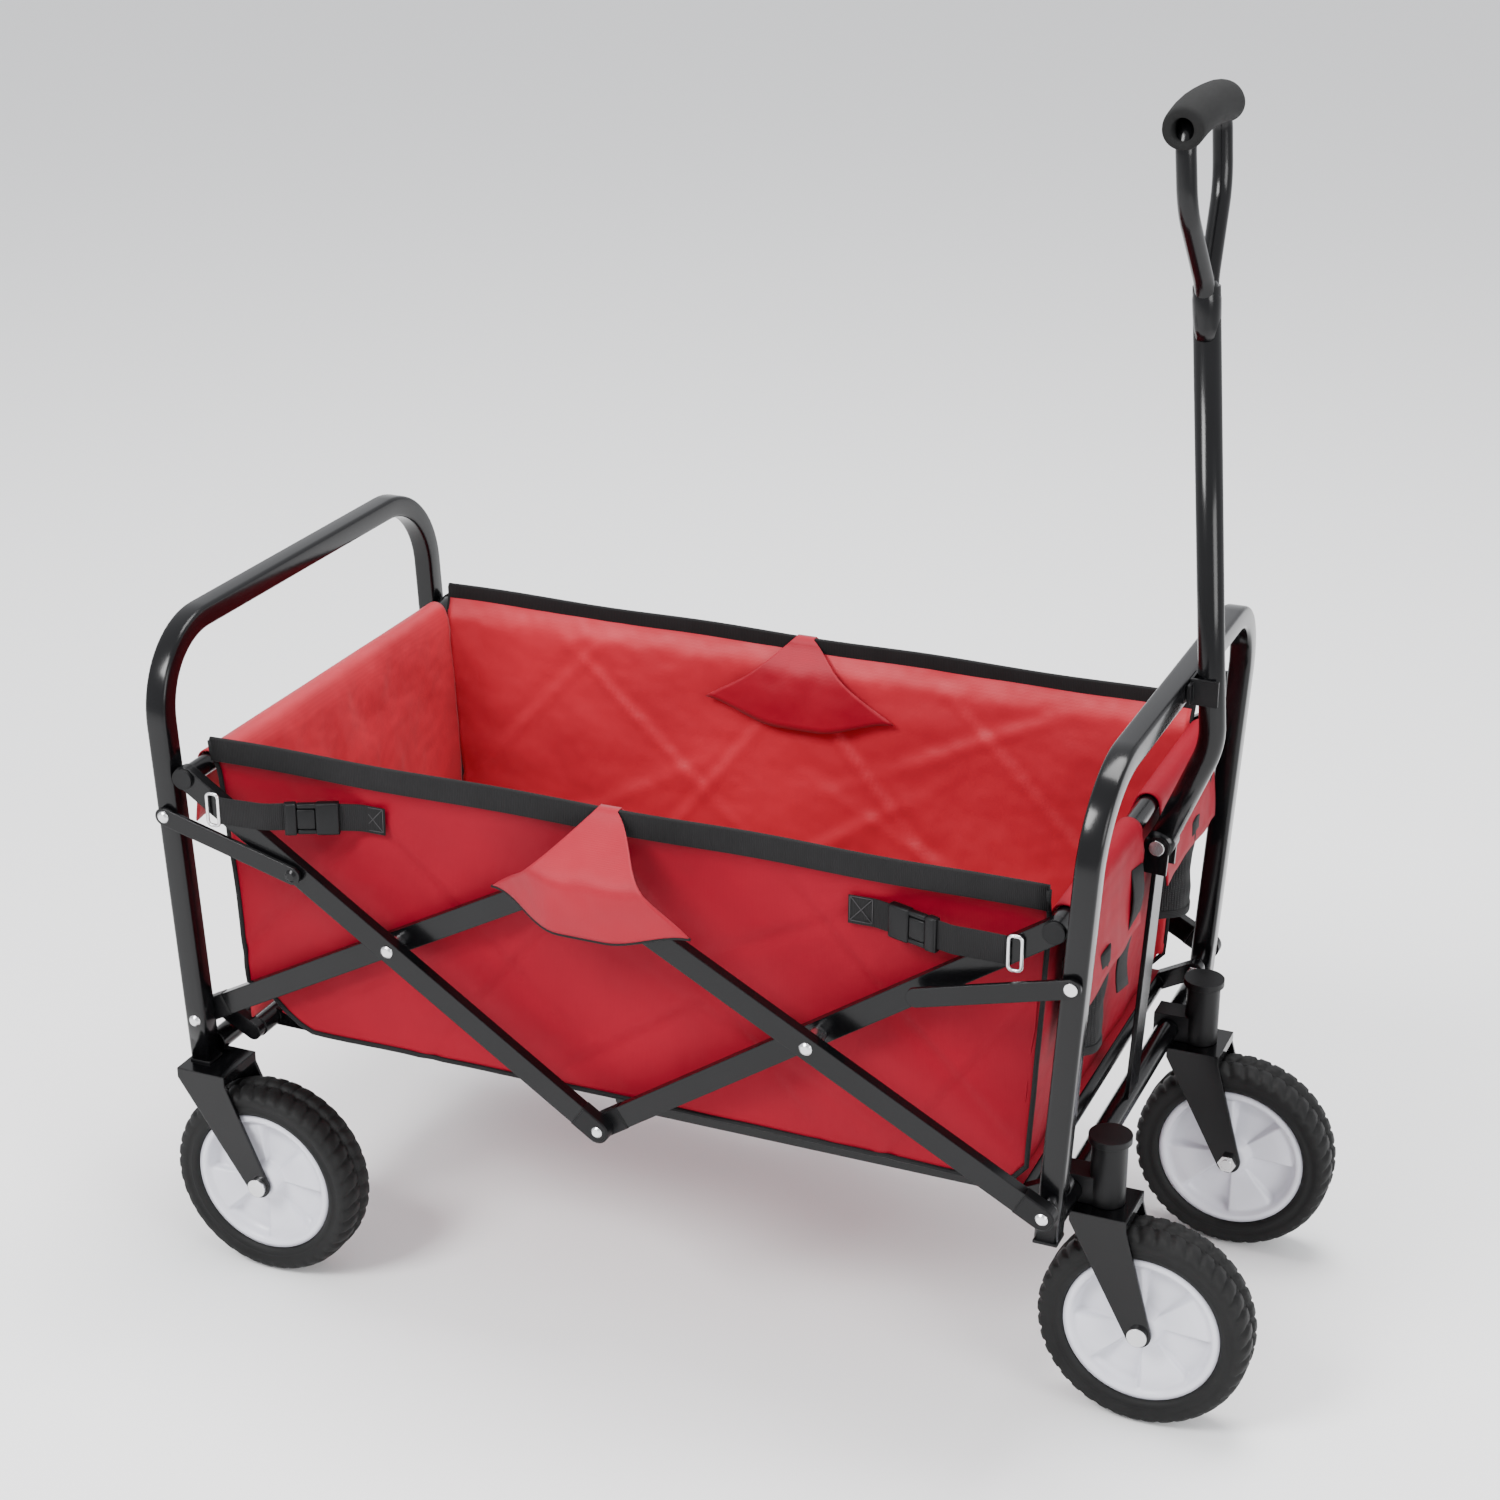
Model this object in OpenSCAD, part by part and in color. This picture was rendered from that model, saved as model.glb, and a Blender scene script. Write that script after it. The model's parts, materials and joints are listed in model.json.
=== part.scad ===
// Folding wagon: two leaning hoops, a scissor frame, a fabric tub and a pull handle.
// Millimetres. +X is the handle end, +Y the far side, +Z up, z = 0 is the floor.

/* [Node] */
// which sub-part to draw

/* [Frame] */
// distance between the rear and the front posts
post_gap = 794; // [640:1:960]
// width over the outer faces of the posts
frame_w = 484; // [400:1:590]
// side of the square tube of the hoops
post = 20; // [16:0.5:24]
// wall of the square tube
post_wall = 1.5; // [1:0.1:3]
// height of the rear hoop's top bar (centre line)
rear_top_z = 587; // [540:1:700]
// height of the front hoop's top bar (centre line)
front_top_z = 593; // [540:1:700]
// bend radius of the hoops (centre line)
hoop_r = 74; // [40:1:110]
// outward lean of both hoops
lean = 3.15; // [0:0.05:5]

/* [Scissor bars] */
// height of a bar
bar_h = 20; // [16:0.5:24]
// thickness of a bar
bar_t = 10; // [8:0.5:11]
// wall of a bar
bar_wall = 1.2; // [0.8:0.1:2]
// height of the bottom pivots on the posts
low_pivot_z = 235; // [225:1:260]
// height of the bottom centre pivot
mid_low_z = 213; // [205:1:235]
// height of the top centre pivot
mid_top_z = 447.5; // [400:0.5:460]
// height of the top cross tubes
top_tube_z = 470; // [455:1:490]
// radius of the top cross tubes
top_tube_r = 8.5; // [6:0.5:9]
// distance of the top cross tubes from the post line
top_tube_in = 12.5; // [12:0.5:20]
// radius of the pivot pins
pin_r = 3; // [2.5:0.1:4]
// running clearance of a pin in its hole
pin_gap = 0.15; // [0.1:0.05:0.4]
// height of the link pivots on the posts
link_z = 433; // [415:1:440]
// distance of the link pivot on the bar from the post line
link_x = 117; // [95:1:135]

/* [Wheels] */
// diameter of all four wheels
wheel_d = 180; // [150:1:200]
// width of a tyre
tyre_w = 44; // [32:1:46]
// radius where the tyre meets the wheel disc
rim_r = 66; // [50:1:74]
// radius of the wheel axles
axle_r = 5; // [4:0.5:7]
// rear axle, distance in front of the post line
rear_axle_x = 68; // [50:1:80]
// front swivel stem, distance in front of the post line
stem_x = 18.5; // [14:0.5:30]
// front swivel stem, distance from the middle plane
stem_y = 148; // [110:1:150]
// trail of the front wheels
trail = 39; // [30:1:42]
// thickness of the fork plates
fork_t = 3; // [2:0.5:4]
// gap between a tyre and a fork plate
fork_gap = 1.4; // [1:0.1:3]

/* [Tub] */
// height of the rim
rim_z = 498; // [480:1:520]
// underside of the fabric floor
floor_z = 225; // [224:0.5:240]
// gap between the tub's side walls and the innermost bars
tub_gap = 4; // [3.5:0.5:40]
// thickness of the fabric walls
cloth = 3; // [2:0.5:5]
// thickness of the folding floor board
board_t = 6; // [3:0.5:10]
// radius of a bottle pocket
pocket_r = 29; // [22:1:36]
// height of a bottle pocket
pocket_h = 82; // [60:1:100]
// middle of a bottle pocket, distance from the middle plane
pocket_y = 136; // [110:1:150]

/* [Handle] */
// radius of the handle tube
shaft_r = 11; // [9:0.5:12]
// height of the handle pivot
handle_z = 452; // [440:1:462]
// height of the grip's centre
grip_z = 1052; // [900:1:1150]
// radius of the foam grip
grip_r = 16.5; // [13:0.5:20]
// half length of the foam grip
grip_half = 63; // [50:1:75]
// radius of the grip's bow tube
bow_r = 8; // [6:0.5:9]

/* [Hidden] */
$fn = 64;
L = post_gap;
half_w = frame_w / 2;
post_y = half_w - post / 2;
lean_z = 300;
lean_t = tan(lean);
// plane of each hoop at a height
function rear_x(z) = -lean_t * (z - lean_z);
function front_x(z) = L + lean_t * (z - lean_z);

// widths from the middle plane: each moving layer has a lane of its own
lane_b = half_w - post - 1.5 - bar_t;
lane_c = half_w - post - 1;
lane_a = lane_c + bar_t + 1;
lane_link = half_w + 2.5;
link_t = 3.5;
lane_d = lane_link + link_t + 1.5;
lane_arm = lane_b - 2.5 - bar_t;

// pivots of the rear half, x and z; the front half is their mirror image
BL = [rear_x(low_pivot_z), low_pivot_z];
BC = [L / 2, mid_low_z];
TC = [L / 2, mid_top_z];
TL = [top_tube_in, top_tube_z];
LP = [rear_x(link_z), link_z];
slope_a = (BC[1] - TL[1]) / (BC[0] - TL[0]);
slope_b = (TC[1] - BL[1]) / (TC[0] - BL[0]);
x1_x = (TL[1] - BL[1] + slope_b * BL[0] - slope_a * TL[0]) / (slope_b - slope_a);
X1 = [x1_x, BL[1] + slope_b * (x1_x - BL[0])];
LB = [link_x, TL[1] + slope_a * (link_x - TL[0])];

// wheels
wheel_r = wheel_d / 2;
wheel_y = post_y;
hub_front_x = L + stem_x + trail;
fork_in = tyre_w / 2 + fork_gap;
crown_top = wheel_d + 14;
crown_bot = wheel_d + 5;
low_tube_z = crown_top + 11.5;
low_tube_r = 10;
low_tube_x = 9.5;
socket_top = low_tube_z + 45;
socket_r = 15;
stem_r = 8;

// floor frame
arm_h = 16;
cross_r = 9;
cross_x = 40;
cross_z = floor_z - cross_r - 0.7;
rail_h = 16;
rail_t = 12;
rail_rear_y = lane_arm - 35;
rail_front_y = rail_rear_y + rail_t + 2;

// tub
sleeve_r = top_tube_r + 3;
end_x = top_tube_in + sleeve_r;
tub_y = lane_b - tub_gap;
tub_in_y = tub_y - cloth;
sleeve_half = tub_y - 20;
notch = 24;

// handle
HP = [front_x(handle_z), handle_z];
bend = [front_x(front_top_z) + post / 2 + shaft_r + 8, handle_z + 93];
grip = [bend[0] - 39.5, grip_z];
clip_z = front_top_z;
clip_x = bend[0] - 39.5 * (clip_z - bend[1]) / (grip_z - bend[1]);

// the origin is the middle of the whole in x
x_lo = min(rear_axle_x - wheel_r, rear_x(rear_top_z) - (post / 2) * (cos(lean) + sin(lean)));
x_hi = hub_front_x + wheel_r;
mid_x = (x_lo + x_hi) / 2;

// ---------- helpers ----------
module place() {
  translate([-mid_x, 0, 0]) children();
}

module both() {
  children();
  mirror([0, 1, 0]) children();
}

// mirror the rear half's shape to the front
module front() {
  translate([L, 0, 0]) mirror([1, 0, 0]) children();
}

module leaning(x0, s) {
  translate([x0, 0, lean_z]) rotate([0, s * lean, 0]) translate([0, 0, -lean_z]) children();
}

// cylinder along y from y0 to y1
module rod(p, y0, y1, r) {
  translate([p[0], y0, p[1]]) rotate([-90, 0, 0]) cylinder(h = y1 - y0, r = r);
}

// low dome on a pin's end, y is the face it stands on
module dome(p, y, r, h) {
  translate([p[0], y, p[1]]) rotate([-90, 0, 0]) cylinder(h = h, r1 = r, r2 = r * 0.6);
}

module hole(p, r) {
  rod(p, half_w - 80, half_w + 60, r);
}

module square_ring() {
  difference() {
    square([post, post], center = true);
    square([post - 2 * post_wall, post - 2 * post_wall], center = true);
  }
}

// bent hoop in its own upright plane
module hoop(z0, z1) {
  both() translate([0, post_y, z0]) linear_extrude(z1 - hoop_r - z0) square_ring();
  both() translate([0, post_y - hoop_r, z1 - hoop_r])
    rotate(a = 120, v = [1, 1, 1])
      rotate_extrude(angle = 90) translate([hoop_r, 0]) square_ring();
  translate([0, -(post_y - hoop_r), z1]) rotate([-90, 0, 0])
    linear_extrude(2 * (post_y - hoop_r)) square_ring();
}

// hollow bar from p to q with round ends, y0 is its inner face
module bar(p, q, y0, h, t) {
  len = norm([q[0] - p[0], q[1] - p[1]]);
  ang = atan2(q[1] - p[1], q[0] - p[0]);
  translate([p[0], y0, p[1]]) rotate([0, -ang, 0]) {
    difference() {
      union() {
        translate([0, 0, -h / 2]) cube([len, t, h]);
        rotate([-90, 0, 0]) cylinder(h = t, r = h / 2);
        translate([len, 0, 0]) rotate([-90, 0, 0]) cylinder(h = t, r = h / 2);
      }
      translate([h * 0.75, bar_wall, bar_wall - h / 2])
        cube([len - h * 1.5, t - 2 * bar_wall, h - 2 * bar_wall]);
    }
  }
}

// ---------- rear hoop and what is fixed to it ----------
module rear_hoop() {
  color("black") place() difference() {
    leaning(0, -1) hoop(crown_top + 1.2, rear_top_z / cos(lean) - lean_z * (1 / cos(lean) - 1));
    translate([-100, -half_w - 50, 0]) cube([300, 2 * half_w + 100, crown_top]);
    both() hole(BL, pin_r + pin_gap);
    both() hole(LP, pin_r + pin_gap);
  }
}

module low_cross() {
  rod([low_tube_x, low_tube_z], -(half_w - post), half_w - post, low_tube_r);
}

module rear_cross_tube() {
  color("black") place() difference() {
    low_cross();
    rod([low_tube_x, low_tube_z], -half_w, half_w, low_tube_r - 1.5);
  }
}

// one tapered fork plate, hub at h, top edge from xa to xb
module fork_plate(h, xa, xb, y0) {
  xm = (xa + xb) / 2;
  d = norm([h[0] - xm, h[1] - crown_bot]);
  nx = (crown_bot - h[1]) / d;
  nz = (h[0] - xm) / d;
  r = 11;
  translate([0, y0 + fork_t, 0]) rotate([90, 0, 0]) linear_extrude(fork_t) union() {
    polygon([[xa, crown_bot], [xb, crown_bot], [h[0] + r * nx, h[1] + r * nz],
      [h[0] - r * nx, h[1] - r * nz]]);
    translate([h[0], h[1]]) circle(r = r);
  }
}

// crown and both plates round the wheel at h, middle plane at y
module fork(h, xa, xb, y) {
  difference() {
    union() {
      translate([xa, y - fork_in - fork_t, crown_bot])
        cube([xb - xa, 2 * (fork_in + fork_t), crown_top - crown_bot]);
      fork_plate(h, xa, xb, y + fork_in);
      fork_plate(h, xa, xb, y - fork_in - fork_t);
    }
    rod(h, y - 60, y + 60, axle_r + 0.1);
  }
}

module rear_fork(s) {
  color("black") place() fork([rear_axle_x, wheel_r], -8, 40, s * wheel_y);
}

module rear_fork_near() { rear_fork(-1); }
module rear_fork_far() { rear_fork(1); }

module axle(h, y) {
  rod(h, y - fork_in - fork_t - 6, y + fork_in + fork_t + 4, axle_r);
  rod(h, y + fork_in + fork_t, y + fork_in + fork_t + 4, axle_r + 3.5);
  translate([h[0], y - fork_in - fork_t, h[1]]) rotate([90, 0, 0])
    cylinder(h = 5, r = axle_r + 3.5, $fn = 6);
}

module rear_axles() {
  color("silver") place() both() axle([rear_axle_x, wheel_r], wheel_y);
}

module pins_post_rear() {
  color("silver") place() both() {
    rod(BL, lane_arm - 3, half_w + 0.5, pin_r);
    dome(BL, half_w, pin_r * 2, 2.4);
    translate([BL[0], lane_arm - 0.3, BL[1]]) rotate([90, 0, 0])
      cylinder(h = 2.7, r = pin_r * 1.8, $fn = 6);
    rod(LP, half_w - 6, lane_link + link_t + 0.3, pin_r);
    dome(LP, lane_link + link_t + 0.3, pin_r * 1.9, 2);
  }
}

// ---------- wheels ----------
module tyre(h, y) {
  w = tyre_w / 2;
  translate([h[0], y, h[1]]) rotate([-90, 0, 0]) rotate_extrude($fn = 128)
    polygon([[rim_r, -w + 5], [rim_r + 3, -w + 1.5], [wheel_r - 10, -w], [wheel_r - 4, -w + 2],
      [wheel_r - 1, -w + 7], [wheel_r, -w + 12], [wheel_r, w - 12], [wheel_r - 1, w - 7],
      [wheel_r - 4, w - 2], [wheel_r - 10, w], [rim_r + 3, w - 1.5], [rim_r, w - 5]]);
}

module wedge(z, a) {
  rotate([0, 0, a]) rotate_extrude(angle = 45, $fn = 128)
    translate([16, z]) square([rim_r - 24, 5]);
}

module rim(h, y) {
  w = tyre_w / 2;
  translate([h[0], y, h[1]]) rotate([-90, 0, 0]) difference() {
    union() {
      rotate_extrude($fn = 128) polygon([[rim_r - 8, -w + 5], [rim_r, -w + 5], [rim_r, w - 5],
        [rim_r - 8, w - 5]]);
      translate([0, 0, -5]) cylinder(h = 10, r = rim_r - 7);
      translate([0, 0, -w + 2]) cylinder(h = tyre_w - 4, r = 17);
      for (k = [0 : 3]) {
        wedge(4.9, 90 * k);
        wedge(-9.9, 90 * k);
      }
    }
    translate([0, 0, -w - 1]) cylinder(h = tyre_w + 2, r = axle_r + pin_gap);
  }
}

rear_hub = [rear_axle_x, wheel_r];
front_hub = [hub_front_x, wheel_r];
module tyre_rear_near() { color("black") place() tyre(rear_hub, -wheel_y); }
module tyre_rear_far() { color("black") place() tyre(rear_hub, wheel_y); }
module rim_rear_near() { color("white") place() rim(rear_hub, -wheel_y); }
module rim_rear_far() { color("white") place() rim(rear_hub, wheel_y); }
module tyre_front_near() { color("black") place() tyre(front_hub, -stem_y); }
module tyre_front_far() { color("black") place() tyre(front_hub, stem_y); }
module rim_front_near() { color("white") place() rim(front_hub, -stem_y); }
module rim_front_far() { color("white") place() rim(front_hub, stem_y); }

// ---------- scissor frame ----------
module bars_low(y0) {
  difference() {
    bar(BL, TC, y0, bar_h, bar_t);
    hole(BL, pin_r + pin_gap);
    hole(X1, pin_r + pin_gap);
    hole(TC, pin_r + pin_gap);
  }
}

module bars_high(y0) {
  difference() {
    bar(TL, BC, y0, bar_h, bar_t);
    hole(X1, pin_r + pin_gap);
    hole(BC, pin_r + pin_gap);
    hole(TL, top_tube_r);
  }
}

module bars_rear_low() { color("dimgray") place() both() bars_low(lane_b); }
module bars_front_low() { color("dimgray") place() front() both() bars_low(lane_d); }
module bars_rear_high() { color("dimgray") place() both() bars_high(lane_a); }
module bars_front_high() { color("dimgray") place() front() both() bars_high(lane_c); }

module cross_tube(y) {
  difference() {
    rod(TL, -y, y, top_tube_r);
    rod(TL, -y - 1, y + 1, top_tube_r - 1.5);
  }
}

module tube_cap(y) {
  rod(TL, y, y + 3, top_tube_r + 0.8);
  rod(TL, y - 8, y + 0.1, top_tube_r - 1.5);
}

module rear_top_tube() { color("black") place() cross_tube(lane_a + bar_t); }
module rear_tube_caps() { color("black") place() both() tube_cap(lane_a + bar_t); }
module front_top_tube() { color("black") place() front() cross_tube(lane_c + bar_t); }
module front_tube_caps() { color("black") place() front() both() tube_cap(lane_c + bar_t); }

module pins_cross_rear() {
  color("silver") place() both() {
    rod(X1, lane_b - 0.5, lane_a + bar_t + 0.4, pin_r);
    rod(X1, lane_b + bar_t + 0.2, lane_a - 0.3, pin_r + 4);
    dome(X1, lane_a + bar_t + 0.3, pin_r * 2, 1.6);
    rod(X1, lane_b - 1.7, lane_b - 0.2, pin_r * 1.8);
  }
}

module pins_mid_low() {
  color("silver") place() both() {
    rod(BC, lane_c - 0.5, lane_a + bar_t + 0.5, pin_r);
    dome(BC, lane_a + bar_t, pin_r * 2, 2.2);
    rod(BC, lane_c - 2.2, lane_c - 0.3, pin_r * 1.8);
  }
}

module pins_cross_front() {
  color("silver") place() front() both() {
    rod(X1, lane_c - 0.5, lane_d + bar_t + 0.4, pin_r);
    rod(X1, lane_c + bar_t + 0.2, lane_d - 0.3, pin_r + 4);
    dome(X1, lane_d + bar_t + 0.3, pin_r * 2, 2);
    rod(X1, lane_c - 2, lane_c, pin_r * 1.8);
  }
}

// the bolt stays on the front bar and stops short of the rear one
module pins_mid_top() {
  color("silver") place() both() {
    rod(TC, lane_d - 18, lane_d + bar_t + 0.5, pin_r);
    rod(TC, lane_d - 18, lane_d, pin_r + 2);
    dome(TC, lane_d + bar_t, pin_r * 2, 2.2);
  }
}

// ---------- links between posts and bars ----------
module link() {
  difference() {
    bar_flat(LP, LB);
    hole(LP, pin_r + pin_gap);
  }
  rod(LB, half_w + 0.4, lane_link, pin_r + 1);
}

module bar_flat(p, q) {
  len = norm([q[0] - p[0], q[1] - p[1]]);
  ang = atan2(q[1] - p[1], q[0] - p[0]);
  translate([p[0], lane_link, p[1]]) rotate([0, -ang, 0]) {
    translate([0, 0, -8]) cube([len, link_t, 16]);
    rotate([-90, 0, 0]) cylinder(h = link_t, r = 8);
    translate([len, 0, 0]) rotate([-90, 0, 0]) cylinder(h = link_t, r = 8);
  }
}

module links_rear() {
  color("gray") place() both() {
    link();
    dome(LB, lane_link + link_t, pin_r * 1.9, 2);
  }
}

module links_front() {
  color("gray") place() front() both() link();
}

// ---------- floor frame, two halves that meet at a centre hinge ----------
module floor_half(y0) {
  FC = [cross_x, cross_z];
  both() difference() {
    bar(BL, FC, lane_arm, arm_h, bar_t);
    hole(BL, pin_r + pin_gap);
  }
  difference() {
    rod(FC, -lane_arm, lane_arm, cross_r);
    rod(FC, -half_w, half_w, cross_r - 1.5);
  }
  both() difference() {
    bar(FC, [L / 2, cross_z], y0, rail_h, rail_t);
    rod(FC, 0, half_w, cross_r);
  }
}

module floor_frame_rear() {
  color("dimgray") place() {
    floor_half(rail_rear_y);
    both() rod([L / 2, cross_z], rail_rear_y - 3, rail_rear_y, 6);
    both() rod([L / 2, cross_z], rail_rear_y + rail_t, rail_front_y - 0.5, 4);
  }
}

module floor_frame_front() {
  color("dimgray") place() front() floor_half(rail_front_y);
}

// ---------- front hoop and what is fixed to it ----------
module front_hoop() {
  color("black") place() difference() {
    leaning(L, 1) hoop(low_tube_z - 3, front_top_z / cos(lean) - lean_z * (1 / cos(lean) - 1));
    front() both() hole(BL, pin_r + pin_gap);
    front() both() hole(LP, pin_r + pin_gap);
  }
}

module front_cross_tube() {
  color("black") place() front() difference() {
    low_cross();
    rod([low_tube_x, low_tube_z], -half_w, half_w, low_tube_r - 1.5);
  }
}

module caster_socket(y) {
  color("black") place() difference() {
    union() {
      translate([L + stem_x, y, crown_top + 0.6]) cylinder(h = socket_top - crown_top - 0.6, r = socket_r);
      translate([L + stem_x, y, socket_top]) cylinder(h = 6, r = socket_r + 3);
      translate([L - low_tube_x - 13, y - 12, crown_top + 0.6])
        cube([stem_x + low_tube_x + 13, 24, low_tube_z + 14 - crown_top - 0.6]);
    }
    translate([L + stem_x, y, 0]) cylinder(h = socket_top + 1.5, r = stem_r + pin_gap);
    front() rod([low_tube_x, low_tube_z], -half_w, half_w, low_tube_r);
  }
}

module caster_socket_near() { caster_socket(-stem_y); }
module caster_socket_far() { caster_socket(stem_y); }

module pins_post_front() {
  color("silver") place() front() both() {
    rod(BL, lane_arm - 3, lane_d + bar_t + 0.4, pin_r);
    rod(BL, half_w, lane_d - 0.3, pin_r + 4);
    dome(BL, lane_d + bar_t + 0.3, pin_r * 2, 2.2);
    translate([BL[0], lane_arm - 0.3, BL[1]]) rotate([90, 0, 0])
      cylinder(h = 2.7, r = pin_r * 1.8, $fn = 6);
    rod(LP, half_w - 6, lane_link + link_t + 0.3, pin_r);
    rod(LP, lane_link + link_t + 0.2, lane_link + link_t + 1.1, pin_r * 1.8);
  }
}

// ---------- swivel casters ----------
module caster_fork(y) {
  color("black") place() union() {
    fork([hub_front_x, wheel_r], L + stem_x - 24, L + stem_x + 24, y);
    translate([L + stem_x, y, crown_top - 1]) cylinder(h = socket_top - crown_top + 1, r = stem_r);
  }
}

module caster_fork_near() { caster_fork(-stem_y); }
module caster_fork_far() { caster_fork(stem_y); }
module caster_axle_near() { color("silver") place() mirror([0, 1, 0]) axle(front_hub, stem_y); }
module caster_axle_far() { color("silver") place() axle(front_hub, stem_y); }

// ---------- handle ----------
// clevis on a flat stay that rises from the lower cross tube, in the hoop's plane
module handle_stay() {
  zl = handle_z / cos(lean) - lean_z * (1 / cos(lean) - 1);
  color("black") place() difference() {
    leaning(L, 1) difference() {
      union() {
        translate([-2, -14.5, low_tube_z]) cube([4, 29, zl - 13.5 - low_tube_z]);
        for (s = [-1, 1]) translate([0, s * (shaft_r + 2.1), 0]) {
          translate([-10, -1.5, zl - 24]) cube([20, 3, 24]);
          translate([0, -1.5, zl]) rotate([-90, 0, 0]) cylinder(h = 3, r = 10);
        }
      }
      translate([0, -30, zl]) rotate([-90, 0, 0]) cylinder(h = 60, r = 4.1);
      translate([-20, -shaft_r - 0.6, zl - 13.5]) cube([40, 2 * shaft_r + 1.2, 40]);
    }
    front() rod([low_tube_x, low_tube_z], -40, 40, low_tube_r);
  }
}

module handle_pin() {
  color("silver") place() {
    rod(HP, -shaft_r - 5.6, shaft_r + 5.6, 4);
    rod(HP, -shaft_r - 5.6, -shaft_r - 3.6, 6.5);
    rod(HP, shaft_r + 3.6, shaft_r + 5.6, 6.5);
  }
}

// open to the front, riveted to the front hoop's top bar
module handle_clip() {
  fx = front_x(clip_z) + (post / 2) / cos(lean) + 0.8;
  color("black") place() difference() {
    union() {
      translate([fx, -shaft_r - 3.5, clip_z - 11]) cube([bend[0] - fx + 5, 2 * shaft_r + 7, 22]);
      translate([fx, -shaft_r - 12, clip_z - 8]) cube([3, 2 * shaft_r + 24, 16]);
    }
    translate([clip_x - shaft_r - 1.6, -shaft_r - 0.5, clip_z - 20])
      cube([60, 2 * shaft_r + 1, 40]);
    leaning(L, 1) translate([-post / 2, -60, clip_z - 40]) cube([post, 120, 80]);
  }
}

// tube between two points of the middle plane
module stick(p, q, r) {
  d = [q[0] - p[0], q[1] - p[1]];
  translate([p[0], 0, p[1]]) rotate([0, atan2(d[0], d[1]), 0]) cylinder(h = norm(d), r = r);
}

// the grip's bow, in the upper tube's own direction: origin at the grip's centre
bow_y = grip_half - 9;
bow_low = 140;
bow_bend = 62;
knuckle = 0.6;
hub_r = bow_r * 1.85;
module bow(r) {
  for (s = [-1, 1]) {
    translate([0, s * bow_y, -bow_bend]) cylinder(h = bow_bend, r = r);
    translate([0, s * bow_y, -bow_bend]) sphere(r = r + knuckle);
    translate([0, s * bow_y, 0]) sphere(r = r + knuckle);
    translate([0, 0, -bow_low]) rotate([-s * atan2(bow_y, bow_low - bow_bend), 0, 0])
      cylinder(h = norm([bow_y, bow_low - bow_bend]), r = r);
  }
  translate([0, bow_y, 0]) rotate([90, 0, 0]) cylinder(h = 2 * bow_y, r = r);
  translate([0, 0, -bow_low]) sphere(r = hub_r);
}

up = atan2(grip[0] - bend[0], grip[1] - bend[1]);
junction = [grip[0] - bow_low * sin(up), grip[1] - bow_low * cos(up)];
boss_r = shaft_r + 1.5;

module handle_shaft() {
  k = hub_r * 0.7;
  q = [junction[0] - k * sin(up), junction[1] - k * cos(up)];
  to = [junction[0] - 30 * sin(up), junction[1] - 30 * cos(up)];
  color("black") place() difference() {
    union() {
      stick(HP, bend, shaft_r);
      translate([bend[0], 0, bend[1]]) sphere(r = shaft_r + knuckle);
      stick(bend, q, shaft_r);
      rod(HP, -shaft_r - 0.3, shaft_r + 0.3, boss_r);
    }
    stick(HP, bend, shaft_r - 1.5);
    translate([bend[0], 0, bend[1]]) sphere(r = shaft_r - 1);
    stick(bend, to, shaft_r - 1.5);
    rod(HP, -30, 30, 4 + pin_gap);
    translate([junction[0], 0, junction[1]]) sphere(r = hub_r);
  }
}

module handle_bow() {
  color("black") place() translate([grip[0], 0, grip[1]]) rotate([0, up, 0]) bow(bow_r);
}

module handle_grip() {
  color("black") place() translate([grip[0], 0, grip[1]]) rotate([0, up, 0]) difference() {
    union() {
      translate([0, -grip_half + 4, 0]) rotate([-90, 0, 0]) cylinder(h = 2 * grip_half - 8, r = grip_r);
      for (s = [-1, 1]) translate([0, s * (grip_half - 4), 0]) rotate([-s * 90, 0, 0])
        cylinder(h = 4, r1 = grip_r, r2 = grip_r - 4);
    }
    bow(bow_r);
  }
}

// ---------- fabric, plain closed solids ----------
module side_wall() {
  translate([0, tub_y, 0]) rotate([90, 0, 0]) linear_extrude(cloth)
    polygon([[end_x, rim_z], [end_x, floor_z + 36], [end_x + 16, floor_z + 14],
      [end_x + 60, floor_z], [L - end_x - 18, floor_z], [L - end_x, floor_z + 22],
      [L - end_x, rim_z]]);
}

module tub_side_near() { color("crimson") place() mirror([0, 1, 0]) side_wall(); }
module tub_side_far() { color("crimson") place() side_wall(); }

module end_wall() {
  translate([end_x, -tub_in_y + 0.4, floor_z + 40])
    cube([cloth, 2 * tub_in_y - 0.8, top_tube_z - floor_z - 40]);
}

module tub_end_rear() { color("crimson") place() end_wall(); }
module tub_end_front() {
  color("crimson") place() front() translate([0.4, 0, 0]) end_wall();
}

module tub_floor() {
  color("darkred") place() translate([end_x + 62, -tub_in_y + 0.4, floor_z])
    cube([L - 2 * end_x - 80, 2 * tub_in_y - 0.8, cloth]);
}

// four stiff panels under one cover
module floor_board() {
  n = 4;
  x0 = end_x + 64;
  w = (L - 2 * end_x - 84) / n;
  color("firebrick") place() for (k = [0 : n - 1])
    translate([x0 + k * w, -tub_in_y + 6, floor_z + cloth + 0.4])
      cube([w - 3, 2 * tub_in_y - 12, board_t]);
}

module sleeve_half_tube(y0, y1) {
  difference() {
    rod(TL, y0, y1, sleeve_r);
    rod(TL, y0 - 1, y1 + 1, top_tube_r + 0.4);
  }
}

module sleeve_rear() { color("crimson") place() sleeve_half_tube(-sleeve_half, sleeve_half); }
module sleeve_front() { color("crimson") place() front() both() sleeve_half_tube(notch, sleeve_half); }

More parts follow.
